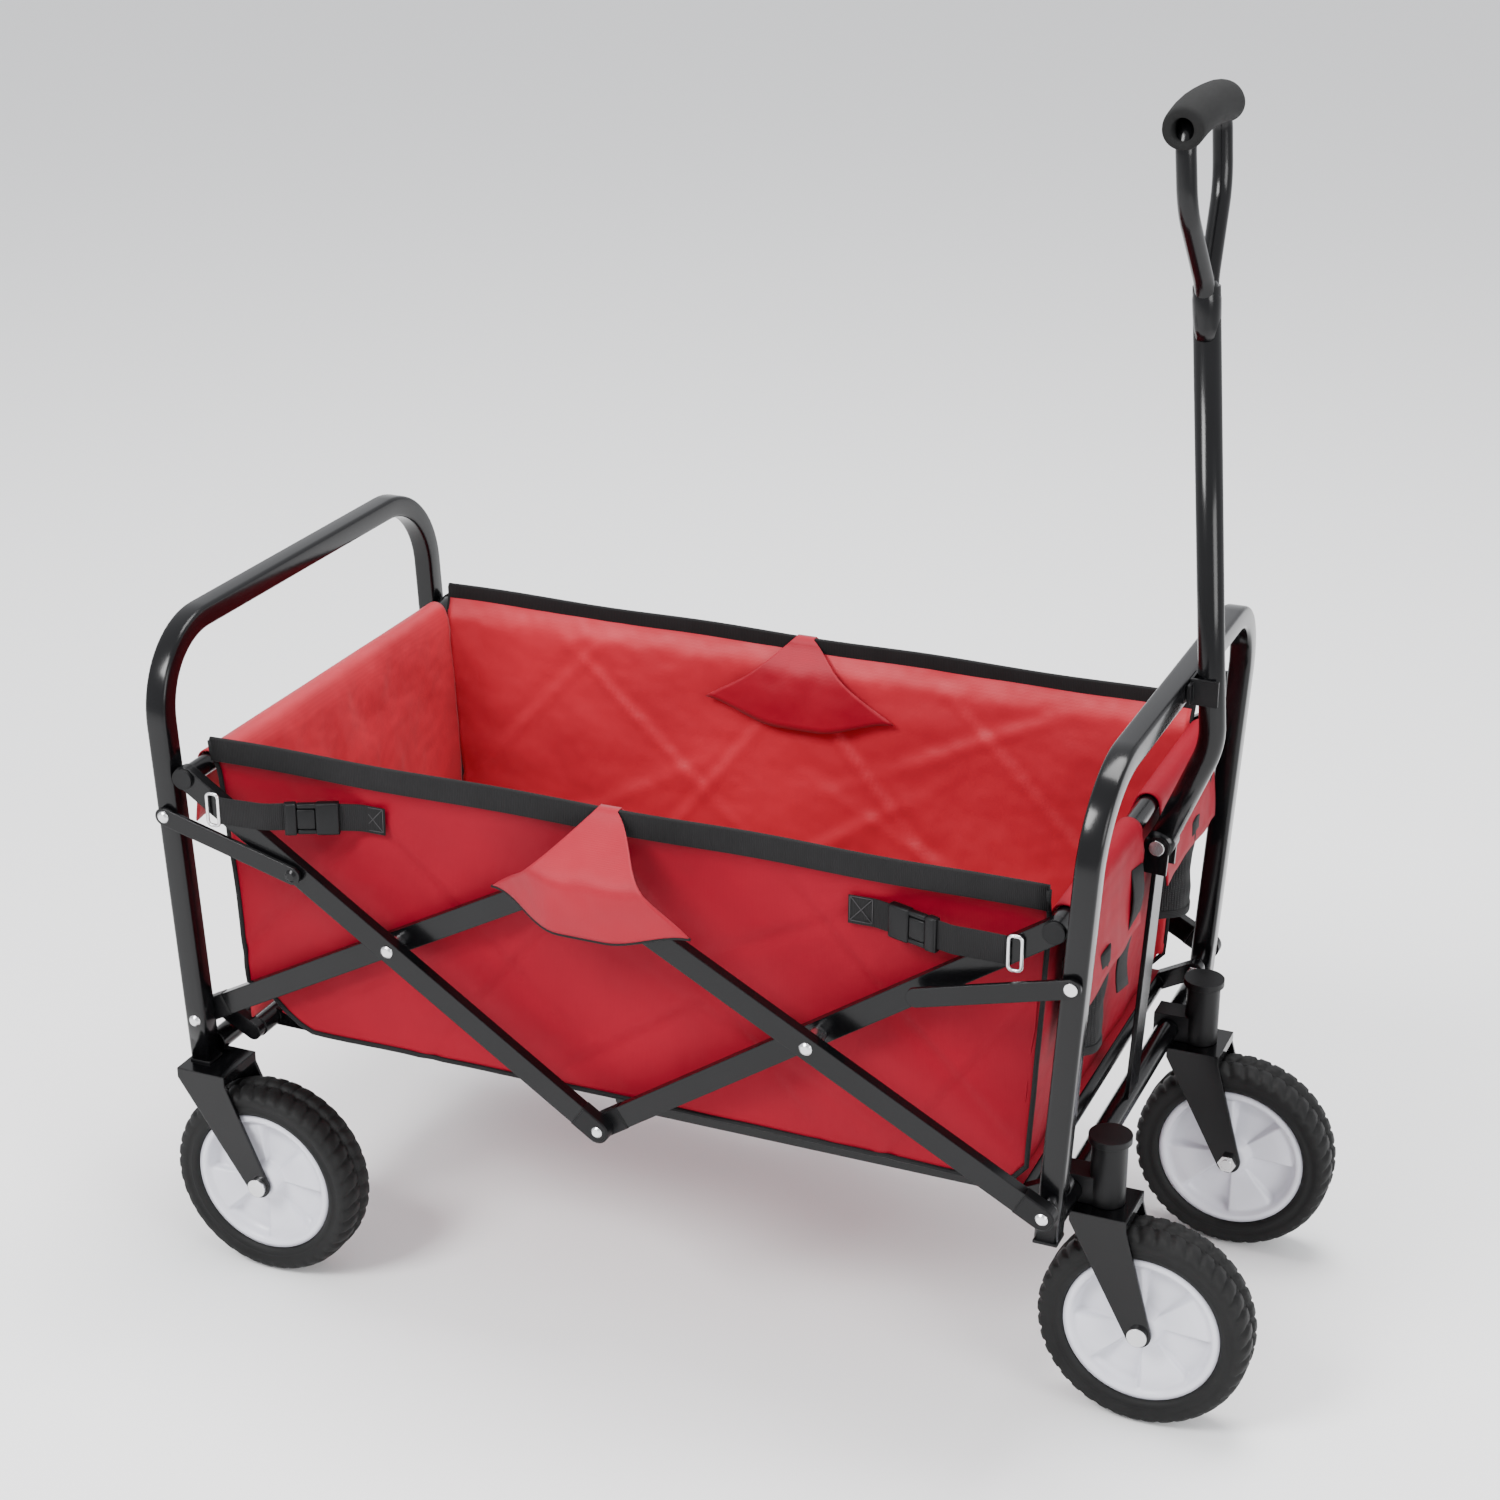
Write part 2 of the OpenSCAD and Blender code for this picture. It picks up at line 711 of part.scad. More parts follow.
// saddle over the rim that hides the top centre joint
module flap() {
  yo = lane_d + bar_t + 5;
  intersection() {
    translate([L / 2 - 120, 0, 0]) rotate([90, 0, 90]) linear_extrude(240) union() {
      polygon([[tub_y + 0.5, rim_z + 3], [yo + 1, TC[1] + 20], [yo + 1, TC[1] - 50],
        [yo - 1.2, TC[1] - 50], [yo - 1.2, TC[1] + 18.6], [tub_y + 0.5, rim_z + 0.6]]);
      polygon([[tub_y + 0.5, rim_z + 3], [tub_y + 0.5, rim_z + 0.6], [tub_in_y - 0.6, rim_z + 0.6],
        [tub_in_y - 0.6, TC[1] - 50], [tub_in_y - 2.6, TC[1] - 50], [tub_in_y - 2.6, rim_z + 3]]);
    }
    translate([0, half_w + 100, 0]) rotate([90, 0, 0]) linear_extrude(200)
      polygon([[L / 2 + 3, rim_z + 10], [L / 2 - 92, TC[1] - 28], [L / 2 - 70, TC[1] - 40],
        [L / 2, TC[1] - 46], [L / 2 + 70, TC[1] - 40], [L / 2 + 98, TC[1] - 28]]);
  }
}

module rim_flaps() { color("crimson") place() both() flap(); }

module pocket(y) {
  translate([L - end_x + 0.2, y, 326]) difference() {
    cylinder(h = pocket_h, r = pocket_r);
    translate([0, 0, 2]) cylinder(h = pocket_h, r = pocket_r - 2);
    translate([-pocket_r - 1, -pocket_r - 1, -1]) cube([pocket_r + 1, 2 * pocket_r + 2, pocket_h + 2]);
  }
}

module pocket_near() { color("black") place() pocket(-pocket_y); }
module pocket_far() { color("black") place() pocket(pocket_y); }

// strap from the ring on a bar's outer face (at ring_y) to the tub's wall
ring_x = 48;
strap_end = 188;
strap_z = TL[1] - 35;
module strap_2d(ring_y, g) {
  polygon([[ring_x - 5, ring_y + 2 + g], [ring_x + 48, ring_y + 1.2 + g],
    [strap_end - 24, tub_y + 2.2 + g], [strap_end, tub_y + 2.2 + g], [strap_end, tub_y + 0.6 - g],
    [strap_end - 25, tub_y + 0.6 - g], [ring_x + 47, ring_y - 0.4 - g], [ring_x - 5, ring_y + 0.4 - g]]);
}

module strap(ring_y) {
  translate([0, 0, strap_z]) linear_extrude(25) strap_2d(ring_y, 0);
  // wire ring at the bar's rivet
  translate([ring_x - 8, ring_y + 1.2, strap_z - 1]) cylinder(h = 27, r = 1.6);
}

module buckle(ring_y) {
  a = atan2(ring_y - tub_y - 1, ring_x + 72 - strap_end);
  translate([(ring_x + 24 + strap_end) / 2, (ring_y + tub_y) / 2 + 0.64, strap_z - 3]) rotate([0, 0, a])
    difference() {
      translate([-24, -4.5, 0]) cube([48, 9, 31]);
      translate([-30, -1.4, 2.6]) cube([60, 2.8, 25.8]);
      for (s = [-1, 1]) translate([4, -6, 15.5 + s * 15.5]) rotate([-90, 0, 0]) cylinder(h = 12, r = 5);
    }
}

ring_rear = lane_a + bar_t + 0.8;
ring_front = lane_c + bar_t + 0.8;
module straps_rear() { color("black") place() both() strap(ring_rear); }
module straps_front() { color("black") place() front() both() strap(ring_front); }
module buckles_rear() { color("black") place() both() buckle(ring_rear); }
module buckles_front() { color("black") place() front() both() buckle(ring_front); }

// ---------- draw ----------
rear_hoop();
rear_cross_tube();
rear_fork_near();
rear_fork_far();
rear_axles();
pins_post_rear();
tyre_rear_near();
rim_rear_near();
tyre_rear_far();
rim_rear_far();
bars_rear_low();
pins_cross_rear();
bars_rear_high();
rear_top_tube();
rear_tube_caps();
pins_mid_low();
bars_front_high();
front_top_tube();
front_tube_caps();
pins_cross_front();
bars_front_low();
pins_mid_top();
links_rear();
links_front();
floor_frame_rear();
floor_frame_front();
front_hoop();
front_cross_tube();
caster_socket_near();
caster_socket_far();
pins_post_front();
caster_fork_near();
caster_fork_far();
caster_axle_near();
caster_axle_far();
tyre_front_near();
rim_front_near();
tyre_front_far();
rim_front_far();
handle_stay();
handle_pin();
handle_clip();
handle_shaft();
handle_bow();
handle_grip();
tub_side_near();
tub_side_far();
tub_end_rear();
tub_end_front();
tub_floor();
floor_board();
sleeve_rear();
sleeve_front();
rim_flaps();
pocket_near();
pocket_far();
straps_rear();
straps_front();
buckles_rear();
buckles_front();
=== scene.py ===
import json
import math

import bmesh
import bpy
from mathutils import Matrix, Vector, noise


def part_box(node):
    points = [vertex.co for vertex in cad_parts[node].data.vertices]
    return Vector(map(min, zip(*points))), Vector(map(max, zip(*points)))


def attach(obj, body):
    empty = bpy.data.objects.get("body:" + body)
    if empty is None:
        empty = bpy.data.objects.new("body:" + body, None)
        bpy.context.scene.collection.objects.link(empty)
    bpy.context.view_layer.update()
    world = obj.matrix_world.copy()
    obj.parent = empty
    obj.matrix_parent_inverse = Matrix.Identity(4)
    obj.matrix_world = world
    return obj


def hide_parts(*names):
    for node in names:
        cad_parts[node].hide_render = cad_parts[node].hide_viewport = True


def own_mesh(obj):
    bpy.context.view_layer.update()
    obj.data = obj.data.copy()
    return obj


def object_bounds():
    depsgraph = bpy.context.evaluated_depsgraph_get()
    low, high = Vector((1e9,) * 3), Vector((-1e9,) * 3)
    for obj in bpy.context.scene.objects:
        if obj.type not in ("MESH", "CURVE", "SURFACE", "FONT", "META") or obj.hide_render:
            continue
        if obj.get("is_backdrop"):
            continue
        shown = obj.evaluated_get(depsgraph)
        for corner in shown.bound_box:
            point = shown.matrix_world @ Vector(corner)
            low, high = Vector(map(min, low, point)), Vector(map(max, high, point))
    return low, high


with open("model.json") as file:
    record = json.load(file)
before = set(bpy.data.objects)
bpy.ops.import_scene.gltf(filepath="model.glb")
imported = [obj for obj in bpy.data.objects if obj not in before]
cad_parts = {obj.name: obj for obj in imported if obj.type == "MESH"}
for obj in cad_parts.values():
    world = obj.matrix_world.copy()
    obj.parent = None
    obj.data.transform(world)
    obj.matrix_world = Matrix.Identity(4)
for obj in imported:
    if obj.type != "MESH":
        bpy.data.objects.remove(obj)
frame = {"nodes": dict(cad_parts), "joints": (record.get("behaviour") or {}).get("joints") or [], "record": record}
cad_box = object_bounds()
nodes = frame["nodes"]
J = {j["name"]: Vector(j["pos_m"]) for j in frame["joints"] if "pos_m" in j}


def middle(n):
    lo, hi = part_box(n)
    return (lo + hi) / 2


BL, BC, BR = (J[n] for n in ("fold", "mid_low_pivot", "front_frame_level"))
TL, TR, TC = middle("rear_top_tube"), middle("front_top_tube"), middle("pins_mid_top")
HP, MID = J["handle_swing"], (BL.x + BR.x) / 2
side_lo, side_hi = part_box("tub_side_far")
YW, RIM = side_hi.y, side_hi.z
FLOOR_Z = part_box("tub_floor")[0].z
XR, XF = side_lo.x, side_hi.x

# metres, unless a line says otherwise
POST, BEND_R = 0.020, 0.074  # hoops: side of the square tube, bend radius
FOOT_X = 0.0105  # hoops: from the box's edge to the tube's middle at the top
RIM_SHARE = 0.735  # wheels: where the tyre meets the disc, as a share of the radius
# tyres: steps round, steps a block, and the step where a block's gap starts
TREAD_STEPS, TREAD_PITCH, TREAD_GAP = 240, 6, 4.4
DISC_STEPS, WEDGES = 192, 8
TUBE_R, BOW_R = 0.0109, 0.0079  # handle
SHEET_T = 0.0015


# ---------- materials ----------
def material(name, color, rough=0.5, metallic=0.0, vary=0.08, vary_scale=30, bump=0.1,
             bump_scale=400, bump_dist=0.0004, sheen=0.0, coat=0.0, weave=0.0, ribs=None,
             bevel=0.0, wear=None, spec=0.5, soft=0.0):
    m = bpy.data.materials.new(name)
    m.use_nodes = True
    nt = m.node_tree
    n, link = nt.nodes, nt.links.new
    b = n["Principled BSDF"]
    tc = n.new("ShaderNodeTexCoord")
    big = n.new("ShaderNodeTexNoise")
    big.inputs["Scale"].default_value = vary_scale
    big.inputs["Detail"].default_value = 5
    link(tc.outputs["Object"], big.inputs["Vector"])
    ramp = n.new("ShaderNodeValToRGB")
    c = color
    ramp.color_ramp.elements[0].position, ramp.color_ramp.elements[1].position = 0.3, 0.7
    ramp.color_ramp.elements[0].color = [max(0, x * (1 - vary)) for x in c] + [1]
    ramp.color_ramp.elements[1].color = [min(1, x * (1 + vary)) for x in c] + [1]
    link(big.outputs["Fac"], ramp.inputs["Fac"])
    out_color = ramp.outputs["Color"]
    fine = n.new("ShaderNodeTexNoise")
    fine.inputs["Scale"].default_value = bump_scale
    fine.inputs["Detail"].default_value = 4
    link(tc.outputs["Object"], fine.inputs["Vector"])
    height = fine.outputs["Fac"]
    if weave:
        waves = []
        for d in ("X", "Z", "Y"):
            w = n.new("ShaderNodeTexWave")
            w.bands_direction = d
            w.inputs["Scale"].default_value = weave
            w.inputs["Distortion"].default_value = 0.6
            w.inputs["Detail"].default_value = 1
            link(tc.outputs["Object"], w.inputs["Vector"])
            waves.append(w.outputs["Fac"])
        add = n.new("ShaderNodeMath")
        add.operation = "ADD"
        link(waves[0], add.inputs[0])
        link(waves[1], add.inputs[1])
        add2 = n.new("ShaderNodeMath")
        add2.operation = "MULTIPLY_ADD"
        link(waves[2], add2.inputs[0])
        add2.inputs[1].default_value = 0.6
        link(add.outputs[0], add2.inputs[2])
        height = add2.outputs[0]
        dark = n.new("ShaderNodeMix")
        dark.data_type = "RGBA"
        dark.blend_type = "MULTIPLY"
        dark.inputs["Factor"].default_value = 0.07
        link(out_color, dark.inputs["A"])
        link(waves[0], dark.inputs["B"])
        out_color = dark.outputs["Result"]
    if ribs:
        w = n.new("ShaderNodeTexWave")
        w.bands_direction = ribs[0]
        w.inputs["Scale"].default_value = ribs[1]
        w.inputs["Distortion"].default_value = 0.3
        link(tc.outputs["Object"], w.inputs["Vector"])
        height = w.outputs["Fac"]
        dark = n.new("ShaderNodeMix")
        dark.data_type = "RGBA"
        dark.blend_type = "MULTIPLY"
        dark.inputs["Factor"].default_value = 0.5
        link(out_color, dark.inputs["A"])
        link(w.outputs["Fac"], dark.inputs["B"])
        out_color = dark.outputs["Result"]
    if wear:
        geo = n.new("ShaderNodeNewGeometry")
        wr = n.new("ShaderNodeValToRGB")
        wr.color_ramp.elements[0].position, wr.color_ramp.elements[1].position = 0.52, 0.6
        link(geo.outputs["Pointiness"], wr.inputs["Fac"])
        mix = n.new("ShaderNodeMix")
        mix.data_type = "RGBA"
        mix.inputs["B"].default_value = list(wear) + [1]
        link(wr.outputs["Color"], mix.inputs["Factor"])
        link(out_color, mix.inputs["A"])
        out_color = mix.outputs["Result"]
    link(out_color, b.inputs["Base Color"])
    rr = n.new("ShaderNodeMapRange")
    rr.inputs["To Min"].default_value = max(0.03, rough - 0.06)
    rr.inputs["To Max"].default_value = min(1, rough + 0.08)
    link(big.outputs["Fac"], rr.inputs["Value"])
    link(rr.outputs["Result"], b.inputs["Roughness"])
    b.inputs["Metallic"].default_value = metallic
    b.inputs["Sheen Weight"].default_value = sheen
    b.inputs["Coat Weight"].default_value = coat
    b.inputs["Coat Roughness"].default_value = 0.12
    b.inputs["Specular IOR Level"].default_value = spec
    normal = None
    if bevel:
        bv = n.new("ShaderNodeBevel")
        bv.samples = 4
        bv.inputs["Radius"].default_value = bevel
        normal = bv.outputs["Normal"]
    if soft:
        s = n.new("ShaderNodeTexNoise")
        s.inputs["Scale"].default_value = 9
        s.inputs["Detail"].default_value = 3
        link(tc.outputs["Object"], s.inputs["Vector"])
        b0 = n.new("ShaderNodeBump")
        b0.inputs["Strength"].default_value = soft
        b0.inputs["Distance"].default_value = 0.02
        link(s.outputs["Fac"], b0.inputs["Height"])
        normal = b0.outputs["Normal"]
    bp = n.new("ShaderNodeBump")
    bp.inputs["Strength"].default_value = bump
    bp.inputs["Distance"].default_value = bump_dist
    link(height, bp.inputs["Height"])
    if normal:
        link(normal, bp.inputs["Normal"])
    link(bp.outputs["Normal"], b.inputs["Normal"])
    return m


M = {
    "paint": material("paint", (0.0022, 0.0022, 0.0026), 0.17, coat=0.1, bump=0.04, bump_scale=900,
                      bevel=0.0022, vary=0.3, vary_scale=12, spec=0.22),
    "bar": material("bar_paint", (0.0026, 0.0026, 0.003), 0.22, coat=0.08, bump=0.05,
                    bump_scale=900, bevel=0.0016, vary=0.3, vary_scale=14, spec=0.2),
    "zinc": material("zinc", (0.66, 0.66, 0.67), 0.25, metallic=1.0, bump=0.1, bump_scale=700,
                     bevel=0.0012),
    "plastic": material("plastic", (0.003, 0.003, 0.0034), 0.4, bump=0.25, bump_scale=1500,
                        bevel=0.001, vary=0.25, spec=0.2),
    "tyre": material("tyre", (0.006, 0.006, 0.006), 0.6, bump=0.35, bump_scale=700, vary=0.3,
                     spec=0.2),
    "white": material("white", (0.60, 0.60, 0.66), 0.38, bump=0.06, bump_scale=500, vary=0.04,
                      coat=0.1),
    "foam": material("foam", (0.006, 0.006, 0.006), 0.85, bump=0.8, bump_scale=1400,
                     bump_dist=0.0008, vary=0.3, spec=0.25),
    "red": material("red", (0.215, 0.0006, 0.0105), 0.62, bump=0.12, weave=260, sheen=0.0,
                    vary=0.12, vary_scale=7, soft=0.5, spec=0.15),
    "red_in": material("red_in", (0.42, 0.012, 0.026), 0.5, bump=0.1, weave=260, sheen=0.06,
                       vary=0.12, vary_scale=6, soft=0.7, spec=0.35),
    "red_fold": material("red_fold", (0.26, 0.0012, 0.013), 0.52, bump=0.12, weave=260, sheen=0.05,
                         vary=0.12, vary_scale=14, soft=0.5, spec=0.25),
    "band": material("band", (0.007, 0.0065, 0.007), 0.75, bump=0.5, ribs=("X", 200),
                     bump_dist=0.0005, vary=0.3, spec=0.25),
    "band_z": material("band_z", (0.0065, 0.0065, 0.007), 0.75, bump=0.5, ribs=("Z", 200),
                       bump_dist=0.0005, vary=0.3, spec=0.25),
    "mesh": material("mesh", (0.008, 0.008, 0.0085), 0.8, bump=0.7, weave=160, bump_dist=0.0008,
                     vary=0.3, spec=0.25),
    "stitch": material("stitch", (0.03, 0.028, 0.03), 0.8, bump=0.5, bump_scale=2500),
}
SLOT = {"black_steel": "bar", "zinc_steel": "zinc", "black_plastic": "plastic",
        "tyre_black": "tyre", "wheel_white": "white", "foam_black": "foam",
        "fabric_red": "red", "webbing_black": "band"}
slot_of = {s["node"]: s["material_slot"] for s in frame["record"]["subparts"]}
for name, o in nodes.items():
    o.data.materials.clear()
    o.data.materials.append(M[SLOT[slot_of[name]]])
for name in ("rear_fork_near", "rear_fork_far", "caster_fork_near", "caster_fork_far",
             "rear_top_tube", "front_top_tube", "rear_cross_tube", "front_cross_tube"):
    nodes[name].data.materials[0] = M["paint"]


# ---------- mesh helpers ----------
def mesh_obj(name, verts, faces, mat, smooth=True, slot=None, body=None):
    me = bpy.data.meshes.new(name)
    me.from_pydata([tuple(v) for v in verts], [], faces)
    me.validate()
    me.materials.append(M[mat])
    o = bpy.data.objects.new(name, me)
    bpy.context.scene.collection.objects.link(o)
    for p in me.polygons:
        p.use_smooth = smooth
    if body:
        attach(o, body)
    return o


def apply_mods(o):
    dg = bpy.context.evaluated_depsgraph_get()
    me = bpy.data.meshes.new_from_object(o.evaluated_get(dg))
    o.modifiers.clear()
    o.data = me
    return o


def thicken(o, t, offset=-1.0, sub=0):
    md = o.modifiers.new("thick", "SOLIDIFY")
    md.thickness, md.offset = t, offset
    if sub:
        s = o.modifiers.new("sub", "SUBSURF")
        s.levels = s.render_levels = sub
    return apply_mods(o)


def fillet(pts, radii, n=10):
    out = []
    for i, p in enumerate(pts):
        r = radii[i] if i < len(radii) else 0
        if not r or i in (0, len(pts) - 1):
            out.append(Vector(p))
            continue
        a, b = (Vector(pts[i - 1]) - p).normalized(), (Vector(pts[i + 1]) - p).normalized()
        half = a.angle(b) / 2
        d = r / math.tan(half)
        c = p + (a + b).normalized() * (r / math.sin(half))
        u, v = p + a * d - c, p + b * d - c
        w = u.angle(v)
        for k in range(n + 1):
            t = k / n
            out.append(c + (u * math.sin((1 - t) * w) + v * math.sin(t * w)) / math.sin(w))
    return out


def round_rect(w, h, r, n=4):
    out = []
    for cx, cy, a0 in ((w / 2 - r, h / 2 - r, 0), (-w / 2 + r, h / 2 - r, 90),
                       (-w / 2 + r, -h / 2 + r, 180), (w / 2 - r, -h / 2 + r, 270)):
        for k in range(n + 1):
            a = math.radians(a0 + 90 * k / n)
            out.append((cx + r * math.cos(a), cy + r * math.sin(a)))
    return out


def circle(r, n=28):
    return [(r * math.cos(2 * math.pi * k / n), r * math.sin(2 * math.pi * k / n))
            for k in range(n)]


def sweep(name, pts, prof, mat, up=(0, 1, 0), closed=False, **k):
    """prof runs in (side, up) round each point; up stays as near the given direction as it can"""
    pts = [Vector(p) for p in pts]
    verts, faces, m = [], [], len(prof)
    for i, p in enumerate(pts):
        a = pts[i - 1] if i or closed else pts[0]
        b = pts[(i + 1) % len(pts)] if i < len(pts) - 1 or closed else pts[-1]
        t = (b - a).normalized()
        side = t.cross(Vector(up)).normalized()
        u = side.cross(t)
        verts += [p + side * x + u * y for x, y in prof]
    n = len(pts)
    for i in range(n if closed else n - 1):
        for j in range(m):
            a, b = i * m + j, i * m + (j + 1) % m
            c, d = (i + 1) % n * m + (j + 1) % m, (i + 1) % n * m + j
            faces.append((a, b, c, d))
    if not closed:
        faces += [tuple(range(m))[::-1], tuple(range((n - 1) * m, n * m))]
    return mesh_obj(name, verts, faces, mat, **k)


def block(name, size, at, rot, bevel, mat, **k):
    bm = bmesh.new()
    bmesh.ops.create_cube(bm, size=1)
    for v in bm.verts:
        v.co = Vector((v.co.x * size[0], v.co.y * size[1], v.co.z * size[2]))
    bmesh.ops.bevel(bm, geom=bm.edges[:], offset=bevel, segments=3, affect="EDGES", profile=0.5)
    bm.transform(Matrix.Translation(at) @ rot.to_4x4())
    me = bpy.data.meshes.new(name)
    bm.to_mesh(me)
    bm.free()
    me.materials.append(M[mat])
    o = bpy.data.objects.new(name, me)
    bpy.context.scene.collection.objects.link(o)
    for p in me.polygons:
        p.use_smooth = True
    if k.get("body"):
        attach(o, k["body"])
    return o


def smooth(t):
    t = max(0.0, min(1.0, t))
    return t * t * (3 - 2 * t)


def lerp(a, b, t):
    return a + (b - a) * t


def wob(x, y, z, scale, seed=0.0):
    return noise.noise(Vector((x * scale + seed, y * scale - seed, z * scale + 2 * seed)))


def squashed(o):
    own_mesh(o)
    return o


# ---------- hoops ----------
def hoop(node, body, front):
    lo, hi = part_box(node)
    y = hi.y - POST / 2
    xb, xt = (hi.x - 0.01, lo.x + FOOT_X) if not front else (lo.x + 0.01, hi.x - FOOT_X)
    zb, zt = lo.z, hi.z - POST / 2 - 0.0004
    pts = [Vector((xb, -y, zb)), Vector((xt, -y, zt)), Vector((xt, y, zt)), Vector((xb, y, zb))]
    path = fillet(pts, [0, BEND_R, BEND_R, 0], 18)
    dense = [lerp(path[0], path[1], k / 6) for k in range(6)] + path[1:-1]
    dense += [lerp(path[-2], path[-1], k / 6) for k in range(1, 7)]
    o = sweep("look_" + node, dense, round_rect(POST, POST, 0.0032), "paint",
              up=(1, 0, 0), slot="black_steel", body=body)
    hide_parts(node)
    for s in (-1, 1):
        e = Vector((xb, s * y, zb))
        block(f"foot_{node}_{'near' if s < 0 else 'far'}", (0.0205, 0.0205, 0.003), e,
              Matrix.Identity(3), 0.0008, "plastic", slot="black_plastic", body=body)
    return o


hoop("rear_hoop", "rear_frame", False)
hoop("front_hoop", "front_frame", True)


# ---------- wheels ----------
def wheel(kind, side, body):
    tn, rn = f"tyre_{kind}_{side}", f"rim_{kind}_{side}"
    c = middle(tn)
    lo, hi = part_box(tn)
    R, w = (hi.z - lo.z) / 2, (hi.y - lo.y) / 2
    ri = R * RIM_SHARE
    prof = [(ri, -w * .75), (ri + .002, -w * .92), (ri + .006, -w), (ri + .007, -w * .965),
            (ri + .011, -w * .965), (ri + .012, -w), (R - .006, -w * .99), (R - .0035, -w * .9),
            (R - .002, -w * .8), (R - .0005, -w * .62), (R, -w * .4), (R, -w * .14),
            (R - .002, -w * .1), (R - .002, w * .1), (R, w * .14), (R, w * .4),
            (R - .0005, w * .62), (R - .002, w * .8), (R - .0035, w * .9), (R - .006, w * .99),
            (ri + .012, w), (ri + .011, w * .965), (ri + .007, w * .965), (ri + .006, w),
            (ri + .002, w * .92), (ri, w * .75)]
    N, verts, faces = TREAD_STEPS, [], []
    for i in range(N):
        for r, y in prof:
            k = r
            if r > R - 0.0045:
                # slanted blocks, offset on the two halves
                ph = (i + (2 if y > 0 else 0) + abs(y) / w * 3.0) % TREAD_PITCH
                if ph >= TREAD_GAP:
                    k = r - 0.0022
            a = 2 * math.pi * i / N
            verts.append((c.x + k * math.cos(a), c.y + y, c.z + k * math.sin(a)))
    m = len(prof)
    for i in range(N):
        for j in range(m):
            a, b = i * m + j, i * m + (j + 1) % m
            d, e = (i + 1) % N * m + (j + 1) % m, (i + 1) % N * m + j
            faces.append((a, e, d, b))
    t = mesh_obj("look_" + tn, verts, faces, "tyre", slot="tyre_black", body=body)
    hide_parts(tn)
    # disc: eight flat wedges, raised and sunk in turn, on both faces
    verts, faces, N = [], [], DISC_STEPS
    rings = [(0.0052, w * .93), (0.012, w * .93), (0.0155, w * .86), (0.0175, w * .5)]
    for i in range(N):
        a = 2 * math.pi * i / N
        sector = (i / N * WEDGES) % 2
        edge = min(sector % 1, 1 - sector % 1)
        k = smooth(edge / 0.05) * (1 if sector < 1 else -1)
        row = list(rings)
        for q, rr in enumerate((0.020, 0.03, 0.042, ri - 0.012)):
            row.append((rr, w * (0.44 + 0.01 * q) + k * (0.0010 + 0.0013 * q)))
        row += [(ri - .008, w * .62), (ri - .0065, w * .8), (ri - .004, w * .84), (ri, w * .8)]
        for r, y in row:
            verts.append((c.x + r * math.cos(a), c.y + y, c.z + r * math.sin(a)))
        for r, y in reversed(row):
            verts.append((c.x + r * math.cos(a), c.y - y, c.z + r * math.sin(a)))
    m = 2 * len(row)
    for i in range(N):
        for j in range(m):
            a, b = i * m + j, i * m + (j + 1) % m
            d, e = (i + 1) % N * m + (j + 1) % m, (i + 1) % N * m + j
            faces.append((a, e, d, b))
    r = mesh_obj("look_" + rn, verts, faces, "white", slot="wheel_white", body=body)
    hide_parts(rn)


for side in ("near", "far"):
    wheel("rear", side, "wheel_rear_" + side)
    wheel("front", side, "wheel_front_" + side)


# ---------- handle ----------
glo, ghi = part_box("handle_grip")
grip = (glo + ghi) / 2
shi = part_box("handle_shaft")[1]
bend = Vector((shi.x - 0.0116, 0, HP.z + 0.093))
axis = (grip - bend).normalized()
hub = grip - axis * 0.140
path = fillet([HP, bend, hub + axis * 0.006], [0, 0.07, 0], 14)
o = sweep("look_handle_tube", path, circle(TUBE_R), "paint", up=(0, 1, 0),
          slot="black_steel", body="handle")
boss = sweep("look_handle_boss", [HP + Vector((0, y, 0)) for y in (-.0112, .0112)],
             circle(0.0122), "paint", up=(0, 0, 1), slot="black_steel", body="handle")
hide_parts("handle_shaft")
half_y = (ghi.y - glo.y) / 2 - 0.009
gl = (ghi.y - glo.y) / 2


def droop(y):
    # the grip's ends follow the bow's bends a little
    return -axis * (0.0055 * (abs(y) / gl) ** 2.4)


for s in (-1, 1):
    sy = Vector((0, s * half_y, 0))
    low = hub - axis * 0.016 + Vector((0, s * 0.0028, 0))
    pts = [low, hub + axis * 0.006 + Vector((0, s * 0.0042, 0)),
           grip - axis * 0.066 + sy * 0.97, grip + sy + droop(half_y), grip]
    leg = sweep(f"look_bow_{'near' if s < 0 else 'far'}",
                fillet(pts, [0, 0.05, 0.06, 0.022, 0], 14), circle(BOW_R), "paint",
                up=(1, 0, 0), slot="black_steel", body="handle")
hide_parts("handle_bow")
neck = []
for d, r in ((-.034, .0109), (-.026, .0114), (-.016, .0120), (-.004, .0122), (.004, .0110),
             (.010, .0080)):
    neck.append((hub + axis * d, r))
side_v = Vector((0, 1, 0))
front_v = axis.cross(side_v)
verts, faces, N = [], [], 32
for q, r in neck:
    for k in range(N):
        a = 2 * math.pi * k / N
        verts.append(q + side_v * (r * 1.06 * math.cos(a)) + front_v * (r * 0.92 * math.sin(a)))
for i in range(len(neck) - 1):
    for k in range(N):
        faces.append((i * N + k, i * N + (k + 1) % N, (i + 1) * N + (k + 1) % N, (i + 1) * N + k))
faces += [tuple(range(N))[::-1], tuple(range((len(neck) - 1) * N, len(neck) * N))]
mesh_obj("look_bow_neck", verts, faces, "paint", slot="black_steel", body="handle")
ring = [(-gl, .0088), (-gl, .0142), (-gl + .0012, .0156), (-gl + .004, .0163), (-gl * .8, .0165),
        (-gl * .6, .0166), (-gl * .3, .0166), (0, .01665), (gl * .3, .0166), (gl * .6, .0166),
        (gl * .8, .0165), (gl - .004, .0163), (gl - .0012, .0156), (gl, .0142), (gl, .0088)]
verts, faces, N = [], [], 40
